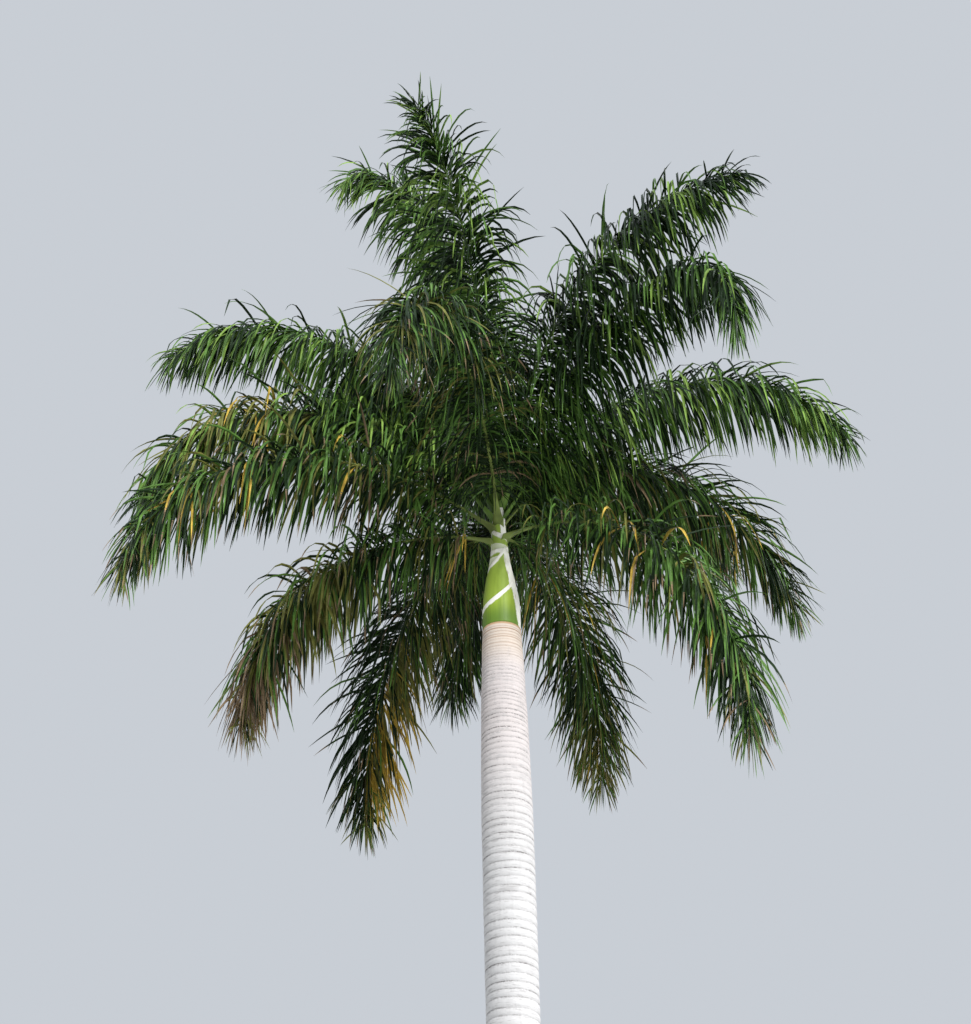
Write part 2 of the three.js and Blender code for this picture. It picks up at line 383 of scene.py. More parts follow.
def new_piece(
    name: str,
    mesh: bpy.types.Mesh,
    nodes: list[str],
    smooth: bool,
) -> bpy.types.Object:
    """A finished piece, riding with the palm.

    Args:
        name: The piece's name.
        mesh: Its mesh, already in its place.
        nodes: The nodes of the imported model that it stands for.
        smooth: Whether its faces are shaded as one round surface.

    Returns:
        The object.
    """
    mesh.name = name
    mesh.polygons.foreach_set("use_smooth", [smooth] * len(mesh.polygons))
    piece = add_object(name, mesh)
    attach(piece, BODY)
    if nodes:
        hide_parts(*nodes)
    log.info("%s: %d faces", name, len(mesh.polygons))
    return piece


@dataclass(frozen=True)
class Grain:
    """A noise that patterns a finish.

    Attributes:
        waves: Waves a metre along x, y and z.
        detail: Finer layers of the noise.
        shows: Heights of the noise where the pattern starts to show and where it shows in full.
        strength: How strongly it shows at each of the two.
    """

    waves: Waves
    detail: float = 3.0
    shows: Pair = (0.0, 1.0)
    strength: Pair = (0.0, 1.0)


class Surface:
    """A node material in the making, ending in its principled shader."""

    def __init__(self, name: str, specular: float) -> None:
        """Starts a material.

        Args:
            name: The material's name.
            specular: Strength of its plain reflection.
        """
        self.material = bpy.data.materials.new(name)
        self.material.use_nodes = True
        self.nodes = self.material.node_tree.nodes
        self.links = self.material.node_tree.links
        self.shader = self.nodes["Principled BSDF"]
        self.shader.inputs["Specular IOR Level"].default_value = specular
        self.place = self.nodes.new("ShaderNodeTexCoord").outputs["Object"]

    def _feed(self, socket: Socket, value: object) -> None:
        """Links a socket to an input, or writes a number or a colour into it.

        Args:
            socket: The input.
            value: A socket, a number or a colour.
        """
        if isinstance(value, Socket):
            self.links.new(value, socket)
        elif isinstance(value, tuple) and socket.type == "RGBA":
            socket.default_value = (*value, 1.0)
        else:
            socket.default_value = value

    def noise(self, grain: Grain) -> Socket:
        """Noise on Object coordinates.

        Args:
            grain: Its waves and detail.

        Returns:
            Its height, from 0 to 1.
        """
        mapping = self.nodes.new("ShaderNodeMapping")
        mapping.inputs["Scale"].default_value = grain.waves
        texture = self.nodes.new("ShaderNodeTexNoise")
        texture.inputs["Scale"].default_value = 1.0
        texture.inputs["Detail"].default_value = grain.detail
        self.links.new(self.place, mapping.inputs["Vector"])
        self.links.new(mapping.outputs["Vector"], texture.inputs["Vector"])
        return texture.outputs["Fac"]

    def shown(self, height: Socket, grain: Grain) -> Socket:
        """How strongly a noise shows, by its height."""
        return self.span(height, *grain.shows, *grain.strength)

    def pattern(self, grain: Grain) -> Socket:
        """How strongly a new noise shows."""
        return self.shown(self.noise(grain), grain)

    def attribute(self, name: str) -> Socket:
        """The value of one of the mesh's own attributes.

        Args:
            name: The attribute's name.

        Returns:
            Its socket.
        """
        node = self.nodes.new("ShaderNodeAttribute")
        node.attribute_name = name
        return node.outputs["Fac"]

    def height(self) -> Socket:
        """The height above the ground.

        Returns:
            Its socket.
        """
        node = self.nodes.new("ShaderNodeSeparateXYZ")
        self.links.new(self.place, node.inputs["Vector"])
        return node.outputs["Z"]

    def calculate(self, operation: str, first: object, second: object) -> Socket:
        """The result of a Math node.

        Args:
            operation: What it works out.
            first: Its first input.
            second: Its second input.

        Returns:
            The result's socket.
        """
        node = self.nodes.new("ShaderNodeMath")
        node.operation = operation
        self._feed(node.inputs[0], first)
        self._feed(node.inputs[1], second)
        return node.outputs["Value"]

    def span(
        self,
        value: object,
        low: float,
        high: float,
        start: float = 0.0,
        end: float = 1.0,
    ) -> Socket:
        """Maps a stretch of values to another, smoothly and kept within it.

        Args:
            value: The input.
            low: The input that gives start.
            high: The input that gives end.
            start: Result at and below low.
            end: Result at and above high.

        Returns:
            The mapped value's socket.
        """
        node = self.nodes.new("ShaderNodeMapRange")
        node.interpolation_type = "SMOOTHSTEP"
        for name, number in (("From Min", low), ("From Max", high), ("To Min", start), ("To Max", end)):
            node.inputs[name].default_value = number
        self._feed(node.inputs["Value"], value)
        return node.outputs["Result"]

    def mix(self, share: object, first: object, second: object) -> Socket:
        """A colour between two.

        Args:
            share: Share of the second, from 0 to 1.
            first: The colour at 0.
            second: The colour at 1.

        Returns:
            The mixed colour's socket.
        """
        node = self.nodes.new("ShaderNodeMix")
        node.data_type = "RGBA"
        for number, value in zip(MIX_INPUTS, (share, first, second)):
            self._feed(node.inputs[number], value)
        return node.outputs[MIX_RESULT]

    def colour(self, value: Socket) -> None:
        """Sets the surface's colour."""
        self.links.new(value, self.shader.inputs["Base Color"])

    def roughness(self, value: object) -> None:
        """Sets the surface's roughness, to a number or a socket."""
        self._feed(self.shader.inputs["Roughness"], value)

    def bump(self, value: Socket, distance: float) -> None:
        """Raises fine relief.

        Args:
            value: Its height, from 0 to 1.
            distance: The height in metres at 1.
        """
        node = self.nodes.new("ShaderNodeBump")
        node.inputs["Distance"].default_value = distance
        self.links.new(value, node.inputs["Height"])
        self.links.new(node.outputs["Normal"], self.shader.inputs["Normal"])


@dataclass(frozen=True)
class BarkFinish:
    """Pale, dry bark with broken leaf scars, creamier where it is youngest.

    Attributes:
        pale: The weathered bark.
        grey: Its stains and streaks.
        blush: The younger bark further up.
        cream: The youngest bark, under the crownshaft.
        tan: The newest scars.
        collar: The newest ridge, under the crownshaft.
        scar: The older leaf scars.
        blush_heights: Where the bark turns from pale to blush.
        cream_heights: Where it turns from blush to cream.
        ridge: Depths below the trunk's top where the newest ridge starts and is whole.
        streaks: The upright grey streaks.
        stains: The broad grey stains.
        dashes: The short level dashes of grey.
        patches: Where the leaf scars are faint and bold.
        specks: Where they are broken.
        young_scars: Least strength of the scars in the youngest bark.
        roughness: Roughness of the bark.
        relief: Depth of its fine relief.
    """

    pale: Colour = (0.64, 0.63, 0.625)
    grey: Colour = (0.42, 0.405, 0.40)
    blush: Colour = (0.67, 0.61, 0.595)
    cream: Colour = (0.75, 0.65, 0.56)
    tan: Colour = (0.36, 0.20, 0.11)
    collar: Colour = (0.58, 0.38, 0.22)
    scar: Colour = (0.12, 0.11, 0.105)
    blush_heights: Pair = (8.8, 10.8)
    cream_heights: Pair = (11.0, 11.45)
    ridge: Pair = (0.035, 0.035 / 3)
    streaks: Grain = Grain((21.0, 21.0, 4.5), 6.0, (0.55, 0.80), (0.0, 0.35))
    stains: Grain = Grain((3.0, 3.0, 9.0), 6.0, (0.55, 0.78), (0.0, 0.5))
    dashes: Grain = Grain((11.0, 11.0, 95.0), 3.0, (0.55, 0.68), (0.0, 0.7))
    patches: Grain = Grain((5.0, 5.0, 13.0), 3.0, (0.36, 0.60), (0.4, 1.0))
    specks: Grain = Grain((75.0, 75.0, 110.0), 4.0, (0.40, 0.56), (0.15, 1.0))
    young_scars: float = 0.8
    roughness: float = 0.85
    relief: float = 0.004

    def material(self) -> bpy.types.Material:
        """Makes the node material.

        Returns:
            The material of the bark.
        """
        surface = Surface("ringed_bark", specular=0.2)
        height = surface.height()
        young = surface.span(height, *self.cream_heights)
        blushed = surface.mix(surface.span(height, *self.blush_heights), self.pale, self.blush)
        dashed = surface.mix(surface.pattern(self.dashes), blushed, self.grey)
        base = surface.mix(young, dashed, self.cream)
        streaks = surface.noise(self.streaks)
        worn = surface.mix(surface.shown(streaks, self.streaks), base, self.grey)
        stained = surface.mix(surface.pattern(self.stains), worn, self.grey)
        newest = surface.span(height, *(TRUNK_TOP - depth for depth in self.ridge))
        fresh = surface.mix(newest, stained, self.collar)
        line = surface.mix(young, self.scar, self.tan)
        specks = surface.noise(self.specks)
        patchy = surface.pattern(self.patches)
        broken = surface.calculate("MULTIPLY", patchy, surface.shown(specks, self.specks))
        bold = surface.calculate("MULTIPLY", young, self.young_scars)
        whole = surface.calculate("MAXIMUM", broken, bold)
        strength = surface.calculate("MULTIPLY", surface.attribute("scar"), whole)
        surface.colour(surface.mix(strength, fresh, line))
        surface.roughness(self.roughness)
        surface.bump(surface.calculate("ADD", specks, streaks), self.relief)
        return surface.material


@dataclass(frozen=True)
class SheathFinish:
    """A smooth waxy sheath with fine upright fibres and a dry margin.

    Attributes:
        name: The material's name.
        low: Colour at the foot.
        high: Colour towards the edge.
        foot: Height where it is all low.
        edge: Height where it is all high.
        dry: The dry margin.
        rust: Stains in the margin.
        band_shade: How dark the upright bands are, as a share of low.
        bands: The upright bands.
        blots: Where the margin is stained.
        fibres: The fine upright fibres.
        roughness: Roughness of the green and of the margin.
        relief: Depth of the fibres.
    """

    name: str
    low: Colour
    high: Colour
    foot: float
    edge: float
    dry: Colour = (0.97, 0.96, 0.86)
    rust: Colour = (0.50, 0.36, 0.20)
    band_shade: float = 0.62
    bands: Grain = Grain((24.0, 24.0, 1.2), 3.0, (0.42, 0.75), (0.0, 0.4))
    blots: Grain = Grain((22.0, 22.0, 9.0), 5.0, (0.56, 0.80), (0.0, 0.6))
    fibres: Grain = Grain((150.0, 150.0, 2.0), 4.0)
    roughness: Pair = (0.48, 0.8)
    relief: float = 0.0016

    def material(self) -> bpy.types.Material:
        """Makes the node material.

        Returns:
            The material of the sheath.
        """
        surface = Surface(self.name, specular=0.25)
        green = surface.mix(surface.span(surface.height(), self.foot, self.edge), self.low, self.high)
        darker = tuple(self.band_shade * part for part in self.low)
        striped = surface.mix(surface.pattern(self.bands), green, darker)
        margin = surface.mix(surface.pattern(self.blots), self.dry, self.rust)
        dry = surface.attribute("dry")
        surface.colour(surface.mix(dry, striped, margin))
        surface.roughness(surface.span(dry, 0.0, 1.0, *self.roughness))
        surface.bump(surface.noise(self.fibres), self.relief)
        return surface.material


@dataclass(frozen=True)
class LeafFinish:
    """Satin leaf or rib of one plain colour, a little uneven.

    Attributes:
        name: The material's name.
        base: Its colour.
        roughness: Its roughness where it is glossiest.
        duller: How much rougher it is where it is dullest.
        shade: How dark its dark places are, as a share.
        patches: Its light and dark places.
        veins: Its fine relief.
        relief: Depth of that relief.
    """

    name: str
    base: Colour
    roughness: float = 0.28
    duller: float = 0.2
    shade: float = 0.55
    patches: Grain = Grain((5.0, 5.0, 5.0), 4.0, (0.35, 0.65))
    veins: Grain = Grain((70.0, 70.0, 70.0), 2.0, (0.3, 0.7))
    relief: float = 0.002

    def material(self) -> bpy.types.Material:
        """Makes the node material.

        Returns:
            The material of the leaf or the rib.
        """
        surface = Surface(self.name, specular=0.2)
        dark = tuple(self.shade * part for part in self.base)
        surface.colour(surface.mix(surface.pattern(self.patches), dark, self.base))
        veins = surface.noise(self.veins)
        dullest = self.roughness + self.duller
        surface.roughness(surface.span(veins, *self.veins.shows, self.roughness, dullest))
        surface.bump(veins, self.relief)
        return surface.material


LEAF_COLOURS: dict[Tint, Colour] = {
    Tint.DEEP: (0.016, 0.038, 0.011),
    Tint.LEAF: (0.112, 0.232, 0.044),
    Tint.FRESH: (0.260, 0.420, 0.080),
    Tint.OLIVE: (0.200, 0.205, 0.050),
    Tint.GOLD: (0.640, 0.440, 0.075),
    Tint.DRY: (0.270, 0.190, 0.110),
}

RIB_FINISHES: dict[Age, LeafFinish] = {
    Age.YOUNG: LeafFinish("young_rib", (0.19, 0.33, 0.065), roughness=0.42),
    Age.OLD: LeafFinish("old_rib", (0.23, 0.30, 0.075), roughness=0.46),
}


@dataclass
class Trunk:
    """The trunk: a spun skin with leaf scars, swellings between them and a flared foot.

    Attributes:
        sides: Sides of the skin.
        spacing: Rows of height and distance between two scars.
        spacing_spread: How far a distance strays from that, as a share.
        band: Half the height of a scar, as a share of the distance from the one below.
        thickest_band: The most that half height may be.
        groove: Depth of the scar.
        swell: How far the bark stands out between two scars.
        crest: Where it stands out most, below a scar, as a share of that distance.
        shoulder: Share of the swelling at a scar's edges, and share of the scar's darkness at its lower
            edge, from where that darkness fades out further below; above the scar it stops.
        full_step: Distance between two scars from which the relief is whole.
        faintest: Strength of the weakest scar, where the strongest is 1.
        boldness: Rows of height and share of a scar's strength.
        waver: How far a scar strays from level.
        waver_waves: Waves a metre of that straying.
        fine_waver: Strength of the finer straying, where the broad one is 1.
        fine_waver_waves: Waves a metre of the finer straying.
        unevenness: Height of the broad dents.
        dent_waves: Waves a metre of the dents.
        fade: Height at the foot and at the top over which the relief dies out.
        flutes: Ridges round the foot.
        flute_depth: Depth of the ridges, as a share of the radius.
        flute_stray: How far the ridges stray round the foot.
    """

    sides: int = 112
    spacing: Rows = (
        (0.0, 0.075),
        (0.8, 0.09),
        (1.6, 0.12),
        (3.0, 0.12),
        (7.75, 0.088),
        (10.0, 0.063),
        (11.2, 0.036),
        (TRUNK_TOP, 0.030),
    )
    spacing_spread: float = 0.22
    band: float = 0.32
    thickest_band: float = 0.0085
    groove: float = 0.0028
    swell: float = 0.0038
    crest: float = 0.38
    shoulder: float = 0.4
    full_step: float = 0.085
    faintest: float = 0.35
    boldness: Rows = ((10.5, 1.0), (10.9, 0.6), (11.3, 0.6), (11.45, 1.0))
    waver: float = 0.009
    waver_waves: Waves = (2.6, 2.6, 1.6)
    fine_waver: float = 0.5
    fine_waver_waves: Waves = (7.0, 7.0, 3.5)
    unevenness: float = 0.004
    dent_waves: Waves = (3.5, 3.5, 2.5)
    fade: float = 0.1
    flutes: int = 11
    flute_depth: float = 0.03
    flute_stray: float = 3.0

    def scars(self) -> list[tuple[float, float, float]]:
        """Deals out the leaf scars up the trunk.

        Returns:
            The height of each, its distance from the one below, and its strength.
        """
        draw = np.random.default_rng(SEED)
        rows = []
        height = 0.0
        while height < TRUNK_TOP - 2 * self.spacing[-1][1]:
            stray = 1 + self.spacing_spread * draw.uniform(-1, 1)
            step = float(along_rows(self.spacing, height)) * stray
            height += step
            bold = float(along_rows(self.boldness, height))
            rows.append((height, step, bold * draw.uniform(self.faintest, 1.0)))
        return rows

    def levels(self) -> list[tuple[float, float, float]]:
        """Works out the rings of the skin.

        Returns:
            The height of each, its relief and its strength of scar.
        """
        rows = [(0.0, 0.0, 0.0)]
        for height, step, strength in self.scars():
            band = min(self.thickest_band, self.band * step)
            depth = min(1.0, step / self.full_step)
            swell = depth * self.swell
            groove = depth * self.groove
            edge = self.shoulder * swell
            rows += [
                (height - self.crest * step, swell, 0.0),
                # Part of the scar's darkness lies at its lower edge and fades out further down; its upper
                # edge has none.
                (height - band, edge, self.shoulder * strength),
                (height - band / 2, -groove, strength),
                (height + band / 2, -groove, strength),
                (height + band, edge, 0.0),
            ]
        return [row for row in rows if row[0] < TRUNK_TOP] + [(TRUNK_TOP, 0.0, 0.0)]

    def build(self) -> bpy.types.Object:
        """Spins the skin and moulds it to the trunk.

        Returns:
            The bark.
        """
        heights, relief, scar = (np.array(column) for column in zip(*self.levels()))
        skin = [(1.0, float(height)) for height in heights]
        mesh = spun([(0.0, 0.0), *skin, (0.0, TRUNK_TOP)], self.sides)
        points = points_of(mesh)
        ring = np.round(np.hypot(points[:, 0], points[:, 1]))
        turn = np.arctan2(points[:, 1], points[:, 0])
        height = points[:, 2].copy()
        radius = TRUNK_RUN.at(height)
        skin_points = round_points(radius, turn, height)
        stray = noise_at(skin_points, self.waver_waves, Field.WAVER)
        stray += self.fine_waver * noise_at(skin_points, self.fine_waver_waves, Field.FINE_WAVER)
        inside = clamp(np.minimum(height, TRUNK_TOP - height) / self.fade)
        flare = clamp(1 - height / FLARE_HEIGHT) ** 2
        ridges = np.sin(self.flutes * turn + self.flute_stray * stray)
        flutes = self.flute_depth * radius * flare * ridges
        dents = self.unevenness * noise_at(skin_points, self.dent_waves, Field.DENTS) * inside
        radius = radius + (FOOT_RADIUS - TRUNK_RADII[0][1]) * flare + flutes + dents
        radius = (radius + np.interp(height, heights, relief) * inside) * ring
        level = height + self.waver * stray * inside * ring
        set_points(mesh, trunk_axis(level) + round_points(radius, turn, 0 * radius))
        set_attribute(mesh, "scar", np.interp(height, heights, scar) * ring)
        return new_piece("bark", mesh, ["trunk"], smooth=True)

    def dress(self, bark: bpy.types.Object) -> None:
        """Gives the bark its finish."""
        bark.data.materials.append(BarkFinish().material())


@dataclass
class Sheath:
    """One leaf sheath rolled round the crownshaft, with a slanting edge.

    Attributes:
        name: The piece's name.
        foot: Height where its wall starts.
        low_edge: Height of its edge away from the apex.
        apex: Height of its edge at the apex.
        apex_heading: Heading of the apex, degrees.
        spread: How widely the apex runs out, degrees.
        inset: How far its wall lies inside the crownshaft's radius.
        apex_ease: Power by which the apex runs out.
        margin_from: Heading where its dry margin starts at the foot, degrees.
        margin_to: Heading where the margin ends, degrees.
        margin_lean: How far the margin's start leans back at the apex's height, degrees.
        margin_ease: Power of that lean.
        margin_blend: Turn in which the margin's start goes from green to dry, degrees.
        margin_fade: Turn in which its end goes from dry to green, degrees.
        rim: Height of the dry rim along its edge.
        rim_blend: Height in which the rim goes from green to dry.
        rim_raggedness: How far the rim's height strays.
        raggedness: How far the margin's start strays, degrees.
        ragged_waves: Waves of that straying a degree round and a metre up.
        fraying: Strength of the finer straying, where the broad one is 1.
        fraying_waves: Its waves, where the broad one's are 1.
        sides: Sides of its skin.
        steps: Rings up its wall.
        step_ease: Power that draws the rings together towards the edge.
        wall: Thickness of the wall.
        lip: Share of its height where the wall's inner face starts.
        mouth: Share of its height where its closed inside ends.
    """

    name: str
    foot: float
    low_edge: float
    apex: float
    apex_heading: float
    spread: float
    inset: float
    apex_ease: float = 1.4
    margin_from: float = 65.0
    margin_to: float = 100.0
    margin_lean: float = 28.0
    margin_ease: float = 0.6
    margin_blend: float = 2.5
    margin_fade: float = 5.0
    rim: float = 0.07
    rim_blend: float = 0.008
    rim_raggedness: float = 0.012
    raggedness: float = 4.0
    ragged_waves: Waves = (0.05, 9.0, 1.0)
    fraying: float = 0.8
    fraying_waves: Waves = (3.1, 5.5, 1.0)
    sides: int = 160
    steps: int = 48
    step_ease: float = 0.8
    wall: float = 0.005
    lip: float = 0.985
    mouth: float = 0.4

    def edge(self, heading: Array) -> Array:
        """Height of the sheath's edge.

        Args:
            heading: Headings, degrees.

        Returns:
            The edge's height at each heading.
        """
        away = np.abs((heading - self.apex_heading + 180) % 360 - 180)
        rise = np.exp(-((away / self.spread) ** self.apex_ease))
        return self.low_edge + (self.apex - self.low_edge) * rise

    def mesh(self) -> bpy.types.Mesh:
        """The sheath as a closed cup, moulded round the crownshaft.

        Returns:
            Its mesh, with the attribute dry.
        """
        shares = np.linspace(0, 1, self.steps) ** self.step_ease
        outer = [(1.0, float(share)) for share in shares]
        inner = [(1.0 - self.wall, self.lip), (1.0 - self.wall, self.mouth)]
        mesh = spun([(0.0, 0.0), *outer, *inner, (0.0, self.mouth)], self.sides)
        points = points_of(mesh)
        reach = np.hypot(points[:, 0], points[:, 1])
        heading = np.degrees(np.arctan2(points[:, 0], -points[:, 1]))
        share = points[:, 2]
        edge = self.edge(heading)
        on_wall = np.round(reach) == 1
        height = self.foot + share * (edge - self.foot)
        radius = np.where(on_wall, SHAFT_RUN.at(height) - self.inset + (reach - 1.0), 0.0)
        height = np.where(on_wall, height, self.foot + share * (self.low_edge - self.foot))
        outward = heading_vector(np.radians(heading), 0 * heading)
        set_points(mesh, trunk_axis(height) + outward * radius[:, None])
        set_attribute(mesh, "dry", self._dryness(heading, height, edge))
        return mesh

    def _dryness(self, heading: Array, height: Array, edge: Array) -> Array:
        """Share of dry margin at each point.

        Args:
            heading: Headings, degrees.
            height: Heights of the points.
            edge: Height of the sheath's edge above each point.

        Returns:
            Numbers from 0, green, to 1, dry.
        """
        place = np.stack([heading, height, 0 * height], axis=1) * np.array(self.ragged_waves)
        ragged = noise_at(place, (1.0, 1.0, 1.0), Field.RAGGED)
        ragged += self.fraying * noise_at(place, self.fraying_waves, Field.FRAYED)
        rise = clamp((height - self.foot) / (self.apex - self.foot))
        start = self.margin_from - self.margin_lean * rise**self.margin_ease + self.raggedness * ragged
        started = clamp((heading - start) / self.margin_blend)
        side = started * clamp((self.margin_to - heading) / self.margin_fade + 0.5)
        rim = clamp((height - edge + self.rim + self.rim_raggedness * ragged) / self.rim_blend)
        return np.maximum(side, rim)


@dataclass
class Crownshaft:
    """The crownshaft: an outer sheath, the younger ones that rise out of it, and the spear leaf.

    Attributes:
        outer_finish: The outer sheath's finish.
        inner_finish: The younger sheaths' finish.
        spear_finish: The spear leaf's finish.
        younger_rows: The younger sheaths' name, foot, low edge, apex, heading and inset.
        younger_spread: How widely their apexes run out, degrees.
        younger_margin: How far round from its apex a younger sheath's margin starts, degrees.
        younger_margin_width: How far round from that it ends, degrees.
        younger_lean: How far its start leans back at the apex's height, degrees.
        spear_length: Length of the spear leaf above the crownshaft.
        spear_root: How far it reaches down into the crownshaft.
        spear_radius: Its radius at the foot.
        spear_tip: Its radius at the tip.
        spear_taper: Power by which it narrows.
        spear_bow: How far its tip leans along X and Y.
        spear_folds: Ridges round it.
        spear_fold_sides: Sides of its skin for each ridge.
        spear_ridge: Height of a ridge, as a share of the radius.
        spear_twist: Turn of the ridges from foot to tip, radians.
        spear_steps: Rings along it.
    """

    outer_finish: SheathFinish = SheathFinish(
        "outer_sheath_green",
        low=(0.155, 0.268, 0.037),
        high=(0.37, 0.50, 0.055),
        foot=TRUNK_TOP + 0.05,
        edge=11.92,
    )
    inner_finish: SheathFinish = SheathFinish(
        "younger_sheath_green",
        low=(0.32, 0.445, 0.060),
        high=(0.33, 0.46, 0.075),
        foot=12.0,
        edge=12.8,
    )
    spear_finish: LeafFinish = LeafFinish("spear_satin", (0.38, 0.46, 0.13))
    younger_rows: tuple[tuple[str, float, float, float, float, float], ...] = (
        ("second", 11.70, 12.34, 12.62, 38.0, 0.005),
        ("third", 11.95, 12.58, 12.86, 150.0, 0.008),
        ("fourth", 12.15, 12.78, 13.04, -120.0, 0.011),
        ("fifth", 12.40, 12.96, 13.22, 20.0, 0.014),
        ("sixth", 12.60, 13.16, 13.40, -80.0, 0.017),
    )
    younger_spread: float = 62.0
    younger_margin: float = 14.0
    younger_margin_width: float = 40.0
    younger_lean: float = 32.0
    spear_length: float = 1.89
    spear_root: float = 0.1
    spear_radius: float = 0.027
    spear_tip: float = 0.004
    spear_taper: float = 0.8
    spear_bow: float = 0.06
    spear_folds: int = 7
    spear_fold_sides: int = 4
    spear_ridge: float = 0.28
    spear_twist: float = 2.5
    spear_steps: int = 26

    def outer(self) -> Sheath:
        """Sizes the outer sheath.

        Returns:
            The sheath, not built yet.
        """
        return Sheath(
            "outer_sheath",
            foot=TRUNK_TOP,
            low_edge=11.83,
            apex=12.15,
            apex_heading=50.0,
            spread=60.0,
            inset=0.0,
        )

    def younger(self) -> list[Sheath]:
        """Sizes the younger sheaths.

        Returns:
            The sheaths from the outermost in, not built yet.
        """
        return [
            Sheath(
                f"{name}_sheath",
                foot=foot,
                low_edge=low,
                apex=apex,
                apex_heading=heading,
                spread=self.younger_spread,
                inset=inset,
                margin_from=heading + self.younger_margin,
                margin_to=heading + self.younger_margin + self.younger_margin_width,
                margin_lean=self.younger_lean,
            )
            for name, foot, low, apex, heading, inset in self.younger_rows
        ]

    def build(self) -> list[bpy.types.Object]:
        """Builds the sheaths and the spear leaf.

        Returns:
            The pieces, the outer sheath first.
        """
        outer = self.outer()
        pieces = [new_piece(outer.name, outer.mesh(), ["crownshaft"], True)]
        for sheath in self.younger():
            nodes = ["inner_sheaths"]
            pieces.append(new_piece(sheath.name, sheath.mesh(), nodes, True))
        pieces.append(self._spear())
        return pieces

    def _spear(self) -> bpy.types.Object:
        """The folded spear leaf, ridged along its length.

        Returns:
            The piece.
        """
        skin = [(1.0, step / self.spear_steps) for step in range(self.spear_steps + 1)]
        mesh = spun([(0.0, 0.0), *skin, (0.0, 1.0)], self.spear_folds * self.spear_fold_sides)
        points = points_of(mesh)
        ring = np.hypot(points[:, 0], points[:, 1])
        turn = np.arctan2(points[:, 1], points[:, 0])
        share = points[:, 2]
        ridges = np.cos(self.spear_folds * turn + self.spear_twist * share) - 1
        radius = self.spear_radius + (self.spear_tip - self.spear_radius) * share**self.spear_taper
        radius = radius * (1 + self.spear_ridge / 2 * ridges) * ring
        height = (self.spear_root + self.spear_length) * share
        bow = np.outer(self.spear_bow * share**2, (1.0, 1.0, 0.0))
        foot = trunk_axis(SHAFT_TOP - self.spear_root)
        set_points(mesh, round_points(radius, turn, height) + bow + foot)
        return new_piece("spear", mesh, ["spear_leaf"], smooth=True)

    def dress(self, pieces: list[bpy.types.Object]) -> None:
        """Gives the sheaths and the spear leaf their finishes.

        Args:
            pieces: The outer sheath, the younger ones and the spear leaf.
        """
        pieces[0].data.materials.append(self.outer_finish.material())
        younger = self.inner_finish.material()
        for piece in pieces[1:-1]:
            piece.data.materials.append(younger)
        pieces[-1].data.materials.append(self.spear_finish.material())


@dataclass(frozen=True)
class Places:
    """Places along a rib, one row each.

    Attributes:
        t: Share of the rib's length.
        at: The point.
        along: Direction towards the tip.
        side: Direction to the right of the rib.
        upper: Direction out of the rib's upper face.
    """

    t: Array
    at: Array
    along: Array
    side: Array
    upper: Array

    def between(self, t: Array) -> "Places":
        """Places between the known ones.

        Args:
            t: Shares of the length.

        Returns:
            The place at each.
        """
        vectors = []
        for known in (self.at, self.along, self.side, self.upper):
            vectors.append(np.stack([np.interp(t, self.t, known[:, axis]) for axis in range(3)], axis=1))
        at, along, side, upper = vectors
        return Places(t, at, unit(along), unit(side), unit(upper))


def rib_path(row: FrondRow, index: int, steps: int) -> Places:
    """The rib of a frond, by the model's rule.

    Args:
        row: How the frond grows.
        index: Its number, from the youngest.
        steps: Lengths that the rib is worked out in.

    Returns:
        The places from its foot to its tip.
    """
    height = TOP_FROND_HEIGHT - index * FROND_SPACING
    t = np.linspace(0, 1, steps + 1)
    heading = np.radians(row.heading + row.sweep * t)
    along = heading_vector(heading, np.radians(row.rise - row.arch * t**row.ease))
    foot = trunk_axis(height) + heading_vector(heading[0], 0.0) * SHAFT_RUN.at(height)
    lengths = (along[:-1] + along[1:]) * (row.reach / steps / 2)
    at = foot + np.vstack([np.zeros(3), np.cumsum(lengths, axis=0)])
    side = np.stack([np.cos(heading), np.sin(heading), 0 * heading], axis=1)
    return Places(t, at, along, side, np.cross(side, along))


